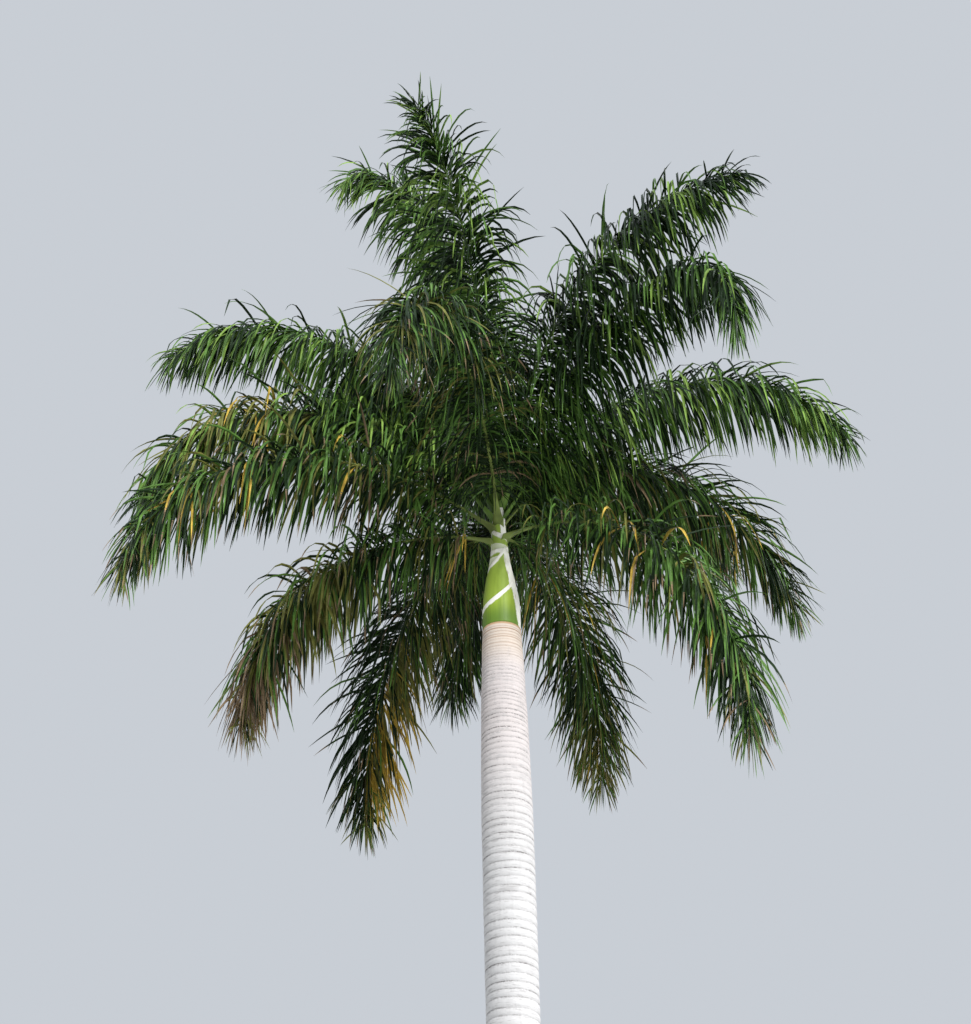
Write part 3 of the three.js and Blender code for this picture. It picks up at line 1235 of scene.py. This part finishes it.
@dataclass
class Ribs:
    """The ribs of the fronds, as smooth tubes with broad clasping feet.

    Attributes:
        steps: Rings along a rib.
        sides: Points of a ring.
        widths: Rows of place and half width.
        heights: Rows of place and half height.
        flatter_top: Height of the upper half, where the lower half's is 1.
        clasp: Half width added at the foot.
        clasp_run: Share of the length that the added width dies out in.
        root_in: How far the foot runs into the crownshaft.
        root_down: How far it runs down in it.
    """

    steps: int = 56
    sides: int = 10
    widths: Rows = ((0.0, 0.030), (0.07, 0.019), (0.5, 0.013), (1.0, 0.0035))
    heights: Rows = ((0.0, 0.019), (0.07, 0.016), (0.5, 0.011), (1.0, 0.0035))
    flatter_top: float = 0.7
    clasp: float = 0.03
    clasp_run: float = 0.018
    root_in: float = 0.055
    root_down: float = 0.12

    def rings(self, path: Places) -> Array:
        """Rings of points along one rib.

        Args:
            path: The rib's places.

        Returns:
            An array of ring, point and axis.
        """
        turn = np.arange(self.sides) / self.sides * math.tau
        wide = along_rows(self.widths, path.t) + self.clasp * np.exp(-path.t / self.clasp_run)
        high = along_rows(self.heights, path.t)
        across = path.side[:, None] * (wide[:, None] * np.cos(turn))[..., None]
        rise = np.where(np.sin(turn) > 0, self.flatter_top, 1.0) * np.sin(turn)
        body = path.at[:, None] + across + path.upper[:, None] * (high[:, None] * rise)[..., None]
        outward = np.cross(path.side[0], UP)
        root = body[0] - self.root_in * outward - self.root_down * UP
        return np.concatenate([root[None], body])

    def build(self, paths: list[Places], age: Age, nodes: list[str]) -> bpy.types.Object:
        """Sweeps the ribs of all fronds of one age into one piece.

        Args:
            paths: The ribs' places.
            age: The fronds' age.
            nodes: The nodes that the fronds replace.

        Returns:
            The piece.
        """
        bm = bmesh.new()
        for path in paths:
            self._sweep(bm, self.rings(path))
        bmesh.ops.recalc_face_normals(bm, faces=bm.faces)
        mesh = mesh_from(bm, "ribs")
        return new_piece(f"ribs_{age.name.lower()}", mesh, nodes, smooth=True)

    def _sweep(self, bm: bmesh.types.BMesh, rings: Array) -> None:
        """Sweeps one closed tube through rings of points.

        Args:
            bm: The mesh that it is added to.
            rings: The rings, from the foot to the tip.
        """
        ring = bmesh.ops.create_circle(bm, cap_ends=True, segments=self.sides, radius=1.0)["verts"]
        for vertex, point in zip(ring, rings[0]):
            vertex.co = point
        for points in rings[1:]:
            near = dict.fromkeys(edge for vertex in ring for edge in vertex.link_edges)
            edges = [edge for edge in near if set(edge.verts) <= set(ring)]
            made = bmesh.ops.extrude_edge_only(bm, edges=edges)["geom"]
            fresh = {item for item in made if isinstance(item, bmesh.types.BMVert)}
            ring = [next(e.other_vert(v) for e in v.link_edges if e.other_vert(v) in fresh) for v in ring]
            for vertex, point in zip(ring, points):
                vertex.co = point
        bm.faces.new(ring)


@dataclass(frozen=True)
class Patch:
    """A stretch of one frond where many sprays share a tint.

    Attributes:
        frond: The frond's number, from 1.
        side: 1 for the right of the rib, -1 for its left, 0 for both.
        start: Where the stretch starts on the rib.
        end: Where it ends.
        tint: The colour.
        share: The share of the sprays that have it.
    """

    frond: int
    side: int
    start: float
    end: float
    tint: Tint
    share: float


PATCHES: tuple[Patch, ...] = (
    Patch(2, 0, 0.00, 1.00, Tint.DEEP, 0.45),
    Patch(6, 0, 0.00, 1.00, Tint.DEEP, 0.30),
    Patch(16, 1, 0.25, 0.95, Tint.DEEP, 0.70),
    Patch(16, -1, 0.35, 0.95, Tint.OLIVE, 0.50),
    Patch(16, -1, 0.56, 0.86, Tint.GOLD, 0.55),
    Patch(10, 0, 0.45, 0.90, Tint.OLIVE, 0.30),
    Patch(10, 0, 0.55, 0.85, Tint.GOLD, 0.12),
    Patch(18, 0, 0.35, 1.00, Tint.OLIVE, 0.50),
    Patch(18, 0, 0.65, 1.00, Tint.DRY, 0.45),
    Patch(15, 0, 0.75, 1.00, Tint.OLIVE, 0.35),
)

TINT_SHARES: dict[Age, dict[Tint, float]] = {
    Age.YOUNG: {Tint.DEEP: 0.40, Tint.LEAF: 0.40, Tint.FRESH: 0.20},
    Age.OLD: {Tint.DEEP: 0.50, Tint.LEAF: 0.32, Tint.OLIVE: 0.14, Tint.GOLD: 0.02, Tint.DRY: 0.02},
}

DRY_TIP_SHARES: dict[Age, float] = {Age.YOUNG: 0.0, Age.OLD: 0.14}


@dataclass
class Blades:
    """The leaflets of one frond as midlines, one row a leaflet.

    Attributes:
        middle: Points of the midlines.
        across: Directions out of the upper face.
        wide: Directions to the blade's edges.
        half_width: Greatest half width.
        tints: The tint of each.
        dry_tip: Whether its tip has dried.
    """

    middle: Array
    across: Array
    wide: Array
    half_width: Array
    tints: Array
    dry_tip: Array


@dataclass
class Shoots:
    """How the leaflets of one frond leave its rib, one row a leaflet.

    Attributes:
        places: Where they stand.
        sign: 1 on the right of the rib, -1 on its left.
        start: Directions at the rib.
        length: Lengths.
        sag: How strongly each hangs.
        kink: Sag added beyond its kink.
        kink_place: Where the kink is, as a share of the length.
        twist: Turn about its own line at the foot, radians.
        curl: Turn added by the tip, radians.
    """

    places: Places
    sign: Array
    start: Array
    length: Array
    sag: Array
    kink: Array
    kink_place: Array
    twist: Array
    curl: Array


@dataclass
class LeafletRule:
    """How the leaflets grow from a rib.

    Attributes:
        per_side: Leaflets on each side of a rib.
        first: Where the first stands on the rib.
        place_jitter: How far a place strays, as a share of the distance to the next.
        length: The longest leaflet.
        reach: Rows of place and share of that length.
        shortest_draw: The least share of its length that a leaflet is given by chance.
        angle: Rows of place and angle to the rib, degrees.
        rank_tilts: Tilts of the ranks out of the rib's plane, degrees.
        tilt_jitter: How far a tilt strays, degrees.
        forward_jitter: How far an angle to the rib strays, degrees.
        start_jitter: How far a direction strays at the rib.
        drift: How far neighbours stray together, degrees.
        clump: Leaflets that stray together.
        sag: How strongly a leaflet hangs.
        sag_ease: Power of the hang along its length.
        stiff_where_short: Power by which shorter leaflets hang less.
        sag_spread: How much the hang varies.
        sag_by_number: Rows of a frond's number and share of the hang.
        sag_by_place: Rows of place on the rib and share of the hang.
        share_by_place: Rows of place on the rib and share of the leaflets that grow there.
        stiff: Share of leaflets that hardly hang.
        stiff_sag: Their hang, as a share of the others'.
        kinked: Share of leaflets that are broken over.
        kink: Sag added beyond the kink.
        kink_places: The span of the length where kinks lie.
        kink_run: Share of the length that a kink takes.
        twist: How much leaflets turn at the foot, degrees.
        curl: How much they turn towards the tip, degrees.
        width: Greatest half width of the longest leaflet.
        narrowest: The least share of it that a shorter leaflet has.
        width_draws: The least and the greatest share of it by chance.
        outline: Rows of place along the leaflet and share of that width.
        fold: Slope of the two halves, degrees.
        thick: Thickness at the midrib.
        grid: Steps that a midline is worked out in.
        spray: Leaflets that share a tint.
        clear: Least distance from the trunk and the crownshaft.
        clear_from: Steps of the midline that may be nearer than that.
        proud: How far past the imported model's box a leaflet may reach.
        shortenings: Shares of its length that a leaflet tries in turn.
        stations: Steps of the midline that get a section.
        cut_stations: Those of a leaflet with a dry tip, up to the tip.
        tip_stations: Those of the dry tip.
    """

    per_side: int = 380
    first: float = 0.065
    place_jitter: float = 0.3
    length: float = 1.08
    reach: Rows = ((0.0, 0.45), (0.12, 0.75), (0.4, 1.0), (0.8, 0.9), (1.0, 0.42))
    shortest_draw: float = 0.82
    angle: Rows = ((0.0, 72.0), (0.5, 58.0), (1.0, 22.0))
    rank_tilts: tuple[float, ...] = (62.0, -4.0, 30.0, -30.0)
    tilt_jitter: float = 16.0
    forward_jitter: float = 9.0
    start_jitter: float = 0.12
    drift: float = 9.0
    clump: int = 7
    sag: float = 6.5
    sag_ease: float = 1.6
    stiff_where_short: float = 0.9
    sag_spread: float = 0.35
    sag_by_number: Rows = ((1.0, 1.0), (2.0, 0.6), (4.0, 0.7), (5.0, 1.0), (8.0, 1.0), (9.0, 0.55))
    sag_by_place: Rows = ((0.75, 1.0), (1.0, 0.45))
    share_by_place: Rows = ((0.84, 1.0), (1.0, 0.4))
    stiff: float = 0.10
    stiff_sag: float = 0.2
    kinked: float = 0.22
    kink: float = 3.5
    kink_places: Pair = (0.3, 0.75)
    kink_run: float = 0.08
    twist: float = 22.0
    curl: float = 30.0
    width: float = 0.0175
    narrowest: float = 0.55
    width_draws: Pair = (0.85, 1.1)
    outline: Rows = ((0.0, 0.35), (0.08, 0.8), (0.25, 1.0), (0.6, 0.95), (0.82, 0.6), (1.0, 0.04))
    fold: float = 24.0
    thick: float = 0.003
    grid: int = 32
    spray: int = 5
    clear: float = 0.012
    clear_from: int = 4
    proud: float = 0.19
    shortenings: tuple[float, ...] = (0.72, 0.5)
    stations: tuple[int, ...] = (0, 3, 7, 12, 17, 22, 27, 32)
    cut_stations: tuple[int, ...] = (0, 3, 7, 12, 17, 21, 25)
    tip_stations: tuple[int, ...] = (24, 27, 30, 32)

    def grow(self, path: Places, index: int, age: Age) -> Blades:
        """Grows the leaflets of one frond.

        Args:
            path: Its rib.
            index: Its number, from the youngest.
            age: Its age.

        Returns:
            The leaflets that stay clear of the trunk and the crownshaft.
        """
        draw = np.random.default_rng(SEED + index)
        shoots = self._shoots(path, draw)
        t = shoots.places.t
        hang = along_rows(self.sag_by_number, index) * along_rows(self.sag_by_place, t)
        shoots = replace(shoots, sag=shoots.sag * hang)
        tints = self._tints(shoots, index, age, draw)
        dry_tip = chosen_by(draw, t, DRY_TIP_SHARES[age])
        lines = self._midlines(shoots)
        kept = self._is_clear(lines[0])
        for share in self.shortenings:
            shorter = replace(shoots, length=shoots.length * share)
            again = self._midlines(shorter)
            better = ~kept & self._is_clear(again[0])
            for made, other in zip(lines, again):
                made[better] = other[better]
            kept = kept | better
        kept = kept & chosen_by(draw, t, along_rows(self.share_by_place, t))
        size = np.clip(shoots.length / self.length, self.narrowest, 1)
        half_width = self.width * size * draw.uniform(*self.width_draws, len(t))
        rows = (*lines, half_width, tints, dry_tip)
        return Blades(*(row[kept] for row in rows))

    def _shoots(self, path: Places, draw: np.random.Generator) -> Shoots:
        """Deals out how the leaflets of one frond leave its rib.

        Args:
            path: The rib.
            draw: The frond's random numbers.

        Returns:
            The shoots, left and right in turn.
        """
        count = 2 * self.per_side
        number = np.arange(count)
        stray = self.place_jitter * draw.uniform(-1, 1, count)
        t = self.first + (1 - self.first) * (number + 0.5 + stray) / count
        places = path.between(clamp(t))
        sign = np.where(number % 2 == 1, 1.0, -1.0)
        ranks = np.array(self.rank_tilts)[(number // 2) % len(self.rank_tilts)]
        stray = self.tilt_jitter * draw.normal(0, 1, count) + self.drift * self._wander(number, draw)
        tilt = np.radians(ranks + stray)
        stray = self.forward_jitter * draw.normal(0, 1, count) + self.drift * self._wander(number, draw)
        forward = np.radians(along_rows(self.angle, places.t) + stray)
        start = (
            places.along * np.cos(forward)[:, None]
            + places.side * (sign * np.sin(forward) * np.cos(tilt))[:, None]
            + places.upper * (np.sin(forward) * np.sin(tilt))[:, None]
        )
        share = along_rows(self.reach, places.t)
        spread = np.exp(self.sag_spread * draw.normal(0, 1, count))
        sag = self.sag * share**self.stiff_where_short * spread
        sag = np.where(chosen_by(draw, t, self.stiff), self.stiff_sag * sag, sag)
        is_kinked = chosen_by(draw, t, self.kinked * share)
        return Shoots(
            places=places,
            sign=sign,
            start=unit(start + self.start_jitter * draw.normal(0, 1, (count, 3))),
            length=self.length * share * draw.uniform(self.shortest_draw, 1.0, count),
            sag=sag,
            kink=np.where(is_kinked, self.kink, 0.0),
            kink_place=draw.uniform(*self.kink_places, count),
            twist=np.radians(self.twist * draw.normal(0, 1, count)) * share,
            curl=np.radians(self.curl * draw.normal(0, 1, count)) * share,
        )

    def _wander(self, number: Array, draw: np.random.Generator) -> Array:
        """Numbers that wander slowly from one leaflet of a side to the next.

        Args:
            number: The leaflets' numbers, left and right in turn.
            draw: The frond's random numbers.

        Returns:
            One number a leaflet.
        """
        knots = np.arange(self.per_side // self.clump + 2)
        place = number // 2 / self.clump
        left, right = (np.interp(place, knots, draw.normal(0, 1, len(knots))) for _ in range(2))
        return np.where(number % 2 == 1, right, left)

    def _midlines(self, shoots: Shoots) -> tuple[Array, Array, Array]:
        """Midlines that leave the rib and hang more the further they reach.

        Args:
            shoots: How the leaflets leave the rib.

        Returns:
            The points, the directions out of the upper face and those to the edges.
        """
        share = (np.arange(self.grid) + 0.5) / self.grid
        beyond = clamp((share - shoots.kink_place[:, None]) / self.kink_run)
        hang = shoots.sag[:, None] * share**self.sag_ease + shoots.kink[:, None] * beyond
        steps = unit(shoots.start[:, None] - hang[..., None] * UP)
        run = np.concatenate([0 * steps[:, :1], np.cumsum(steps, axis=1)], axis=1)
        middle = shoots.places.at[:, None] + run * (shoots.length / self.grid)[:, None, None]
        along = np.concatenate([steps[:, :1], steps[:, 1:] + steps[:, :-1], steps[:, -1:]], axis=1)
        across = unit(np.cross(unit(along), shoots.places.along[:, None])) * shoots.sign[:, None, None]
        wide = np.cross(unit(along), across)
        turn = shoots.twist[:, None] + shoots.curl[:, None] * np.linspace(0, 1, self.grid + 1)
        cos, sin = np.cos(turn)[..., None], np.sin(turn)[..., None]
        return middle, across * cos + wide * sin, wide * cos - across * sin

    def _is_clear(self, middle: Array) -> Array:
        """Whether each midline stays clear of the shaft and within the palm's reach.

        Args:
            middle: Points of the midlines.

        Returns:
            One truth a leaflet.
        """
        points = middle[:, self.clear_from :]
        height = points[..., 2]
        away = np.linalg.norm((points - trunk_axis(height))[..., :2], axis=-1)
        trunk = TRUNK_RUN.at(height)
        shaft = SHAFT_RUN.at(np.clip(height, TRUNK_TOP, SHAFT_TOP))
        body = np.where(height < TRUNK_TOP, trunk, np.where(height < SHAFT_TOP, shaft, 0.0))
        low, high = (np.array(corner) for corner in CAD_BOX)
        within = np.all((points > low - self.proud) & (points < high + self.proud), axis=(1, 2))
        return within & np.all(away > body + self.clear, axis=1)

    def _tints(self, shoots: Shoots, index: int, age: Age, draw: np.random.Generator) -> Array:
        """Deals out the tints by spray.

        Args:
            shoots: How the leaflets leave the rib.
            index: The frond's number, from the youngest.
            age: Its age.
            draw: The frond's random numbers.

        Returns:
            One tint a leaflet.
        """
        t, sign = shoots.places.t, shoots.sign
        shares = TINT_SHARES[age]
        sprays = len(t) // self.spray + 1
        dealt = draw.choice(np.array(list(shares), object), size=sprays, p=list(shares.values()))
        tints = np.repeat(dealt, self.spray)[: len(t)]
        for patch in PATCHES:
            taken = np.repeat(chosen_by(draw, dealt, patch.share), self.spray)[: len(t)]
            here = (t >= patch.start) & (t <= patch.end) & (patch.side * sign >= 0) & taken
            if patch.frond == index + 1:
                tints[here] = patch.tint
        return tints

    def blades(self, blades: Blades, chosen: Array, stations: tuple[int, ...]) -> Part:
        """Closed, folded blades over some stations of the midlines.

        Args:
            blades: The leaflets of one frond.
            chosen: Which of them.
            stations: Steps of the midline that get a section.

        Returns:
            The points, and the triangles of their numbers.
        """
        places = list(stations)
        middle = blades.middle[chosen][:, places]
        across = blades.across[chosen][:, places]
        wide = blades.wide[chosen][:, places]
        share = np.array(places) / self.grid
        half = (blades.half_width[chosen][:, None] * along_rows(self.outline, share))[..., None]
        fold = math.radians(self.fold)
        thick = across * self.thick / 2 * along_rows(self.outline, share)[None, :, None]
        drop = across * half * math.sin(fold)
        spread = wide * half * math.cos(fold)
        section = [middle + spread - drop, middle - thick, middle - spread - drop, middle + thick]
        points = np.stack(section, axis=2).reshape(-1, 3)
        return points, self._triangles(len(middle), len(places))

    def _triangles(self, count: int, rings: int) -> Array:
        """Triangles of some blades with four-point sections.

        Args:
            count: Blades.
            rings: Sections of a blade.

        Returns:
            Point numbers, three to a row.
        """
        corner = np.arange(CORNERS)
        following = (corner + 1) % CORNERS
        start = CORNERS * np.arange(rings - 1)[:, None]
        lower = np.stack([start + corner, start + following, start + following + CORNERS], axis=-1)
        upper = np.stack([start + corner, start + following + CORNERS, start + corner + CORNERS], axis=-1)
        foot = np.array([(3, 1, 0), (3, 2, 1)])
        tip = np.array([(0, 1, 3), (1, 2, 3)]) + CORNERS * (rings - 1)
        blade = np.concatenate([lower.reshape(-1, 3), upper.reshape(-1, 3), foot, tip])
        return (blade[None] + CORNERS * rings * np.arange(count)[:, None, None]).reshape(-1, 3)


def mesh_of(points: Array, triangles: Array) -> bpy.types.Mesh:
    """Makes a mesh from arrays.

    Args:
        points: The points, one row each.
        triangles: The numbers of each triangle's points.

    Returns:
        The mesh.
    """
    mesh = bpy.data.meshes.new("blades")
    mesh.vertices.add(len(points))
    mesh.vertices.foreach_set("co", points.astype(np.float32).ravel())
    mesh.loops.add(triangles.size)
    mesh.loops.foreach_set("vertex_index", triangles.astype(np.int32).ravel())
    mesh.polygons.add(len(triangles))
    mesh.polygons.foreach_set("loop_start", np.arange(0, triangles.size, 3, dtype=np.int32))
    mesh.update(calc_edges=True)
    return mesh


@dataclass
class Crown:
    """The fronds: ribs, and leaflets joined by age and tint.

    Attributes:
        rule: How the leaflets grow.
        ribs: How the ribs are made.
    """

    rule: LeafletRule = field(default_factory=LeafletRule)
    ribs: Ribs = field(default_factory=Ribs)

    def build(self) -> dict[str, list[bpy.types.Object]]:
        """Builds ribs and leaflets.

        Returns:
            The pieces under the name of the finish that each takes.
        """
        batches: dict[tuple[Age, Tint], list[Part]] = {}
        paths: dict[Age, list[Places]] = {Age.YOUNG: [], Age.OLD: []}
        for index, row in enumerate(FRONDS):
            age = Age.OLD if index >= OLD_FRONDS_FROM else Age.YOUNG
            path = rib_path(row, index, self.ribs.steps)
            paths[age].append(path)
            self._deal(self.rule.grow(path, index, age), age, batches)
        pieces: dict[str, list[bpy.types.Object]] = {}
        for age, group in paths.items():
            ribs = self.ribs.build(group, age, self._nodes(age))
            pieces.setdefault(RIB_FINISHES[age].name, []).append(ribs)
        for age, tint in sorted(batches, key=lambda kind: (kind[0].name, kind[1].name)):
            pieces.setdefault(tint.value, []).extend(self._join(batches[age, tint], age, tint))
        return pieces

    def _nodes(self, age: Age) -> list[str]:
        """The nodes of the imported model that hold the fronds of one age.

        Args:
            age: The fronds' age.

        Returns:
            The nodes' names.
        """
        names = [name for name in sorted(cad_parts) if name.startswith("frond_")]
        is_old = age is Age.OLD
        return [name for name in names if (int(name.split("_")[1]) > OLD_FRONDS_FROM) == is_old]

    def _deal(self, grown: Blades, age: Age, batches: dict[tuple[Age, Tint], list[Part]]) -> None:
        """Adds one frond's blades to the batches of their tints.

        Args:
            grown: The frond's leaflets.
            age: Its age.
            batches: Blades by age and tint, added to here.
        """
        for tint in Tint:
            whole = (grown.tints == tint) & ~grown.dry_tip
            cut = (grown.tints == tint) & grown.dry_tip
            for chosen, stations, colour in (
                (whole, self.rule.stations, tint),
                (cut, self.rule.cut_stations, tint),
                (cut, self.rule.tip_stations, Tint.DRY),
            ):
                if chosen.any():
                    part = self.rule.blades(grown, chosen, stations)
                    batches.setdefault((age, colour), []).append(part)

    def _join(self, blades: list[Part], age: Age, tint: Tint) -> list[bpy.types.Object]:
        """Joins batches of blades into pieces that stay small enough.

        Args:
            blades: Points and triangles of each batch.
            age: The fronds' age.
            tint: The leaflets' tint.

        Returns:
            The pieces.
        """
        groups: list[list[Part]] = [[]]
        for batch in blades:
            if sum(len(triangles) for _, triangles in groups[-1]) + len(batch[1]) > MOST_TRIANGLES:
                groups.append([])
            groups[-1].append(batch)
        pieces = []
        for number, group in enumerate(groups, 1):
            starts = np.cumsum([0] + [len(points) for points, _ in group[:-1]])
            points = np.concatenate([points for points, _ in group])
            triangles = np.concatenate([part[1] + start for part, start in zip(group, starts)])
            name = f"leaflets_{age.name.lower()}_{tint.value}_{number}"
            pieces.append(new_piece(name, mesh_of(points, triangles), [], smooth=False))
        return pieces

    def dress(self, pieces: dict[str, list[bpy.types.Object]]) -> None:
        """Gives the ribs and leaflets their finishes.

        Args:
            pieces: The pieces under the name of the finish that each takes.
        """
        finishes = list(RIB_FINISHES.values())
        finishes += [LeafFinish(tint.value, colour) for tint, colour in LEAF_COLOURS.items()]
        for finish in finishes:
            material = finish.material()
            for piece in pieces.get(finish.name, []):
                piece.data.materials.append(material)


@dataclass
class Studio:
    """The floor, the soft light and the camera.

    Attributes:
        floor_size: Side of the floor.
        floor_colour: Its colour.
        floor_shade: How dark its darkest places are, as a share.
        floor_grain: Its light and dark places.
        floor_roughness: Its roughness.
        sky: Colour of the pale surroundings.
        sky_strength: Their strength.
        lights: Rows of name, strength, softness and turn, degrees.
        camera_place: Where the camera stands.
        camera_pitch: How far it looks above level, degrees.
        camera_yaw: How far it looks to the left, degrees.
        lens: Its focal length, millimetres.
        sensor: Width of its sensor, millimetres.
        sight: How far it sees.
    """

    floor_size: float = 120.0
    floor_colour: Colour = (0.60, 0.595, 0.58)
    floor_shade: float = 0.97
    floor_grain: Grain = Grain((2.0, 2.0, 2.0))
    floor_roughness: float = 0.9
    sky: Colour = (0.83, 0.88, 0.95)
    sky_strength: float = 0.7
    lights: tuple[tuple[str, float, float, tuple[float, float, float]], ...] = (
        ("key_light", 3.15, 10.0, (56.0, 0.0, 27.0)),
        ("fill_light", 1.2, 40.0, (78.0, 0.0, 72.0)),
        ("back_light", 0.6, 60.0, (60.0, 0.0, 165.0)),
    )
    camera_place: tuple[float, float, float] = (0.0, -15.7, 1.6)
    camera_pitch: float = 36.3
    camera_yaw: float = 1.43
    lens: float = 63.28
    sensor: float = 36.0
    sight: float = 200.0

    def build(self) -> None:
        """Builds the floor, the lights, the surroundings and the camera."""
        self._floor()
        self._lights()
        self._surroundings()
        self._camera()

    def _floor(self) -> None:
        """Lays the floor."""
        bm = bmesh.new()
        bmesh.ops.create_grid(bm, x_segments=1, y_segments=1, size=self.floor_size / 2)
        floor = add_object("floor", mesh_from(bm, "floor"))
        surface = Surface("floor_paint", specular=0.2)
        darker = tuple(self.floor_shade * part for part in self.floor_colour)
        surface.colour(surface.mix(surface.noise(self.floor_grain), self.floor_colour, darker))
        surface.roughness(self.floor_roughness)
        floor.data.materials.append(surface.material)

    def _lights(self) -> None:
        """Sets up the soft lights."""
        for name, strength, softness, turn in self.lights:
            data = bpy.data.lights.new(name, "SUN")
            data.energy = strength
            data.angle = math.radians(softness)
            add_object(name, data).rotation_euler = [math.radians(angle) for angle in turn]

    def _surroundings(self) -> None:
        """Sets the pale surroundings."""
        world = bpy.data.worlds.new("surroundings")
        world.use_nodes = True
        background = world.node_tree.nodes["Background"]
        background.inputs["Color"].default_value = (*self.sky, 1.0)
        background.inputs["Strength"].default_value = self.sky_strength
        bpy.context.scene.world = world
        bpy.context.scene.view_settings.view_transform = "Standard"

    def _camera(self) -> None:
        """Stands the camera at the photograph's viewing angle."""
        data = bpy.data.cameras.new("camera")
        data.sensor_width = self.sensor
        data.lens = self.lens
        data.clip_end = self.sight
        camera = add_object("camera", data)
        camera.location = self.camera_place
        camera.rotation_euler = (math.radians(90 + self.camera_pitch), 0.0, math.radians(self.camera_yaw))
        bpy.context.scene.camera = camera


def main() -> None:
    """Builds and dresses the palm, from the ground up, and the studio round it."""
    logging.basicConfig(level=logging.INFO, format="%(message)s")
    trunk = Trunk()
    trunk.dress(trunk.build())
    crownshaft = Crownshaft()
    crownshaft.dress(crownshaft.build())
    crown = Crown()
    crown.dress(crown.build())
    Studio().build()


if __name__ == "__main__":
    main()
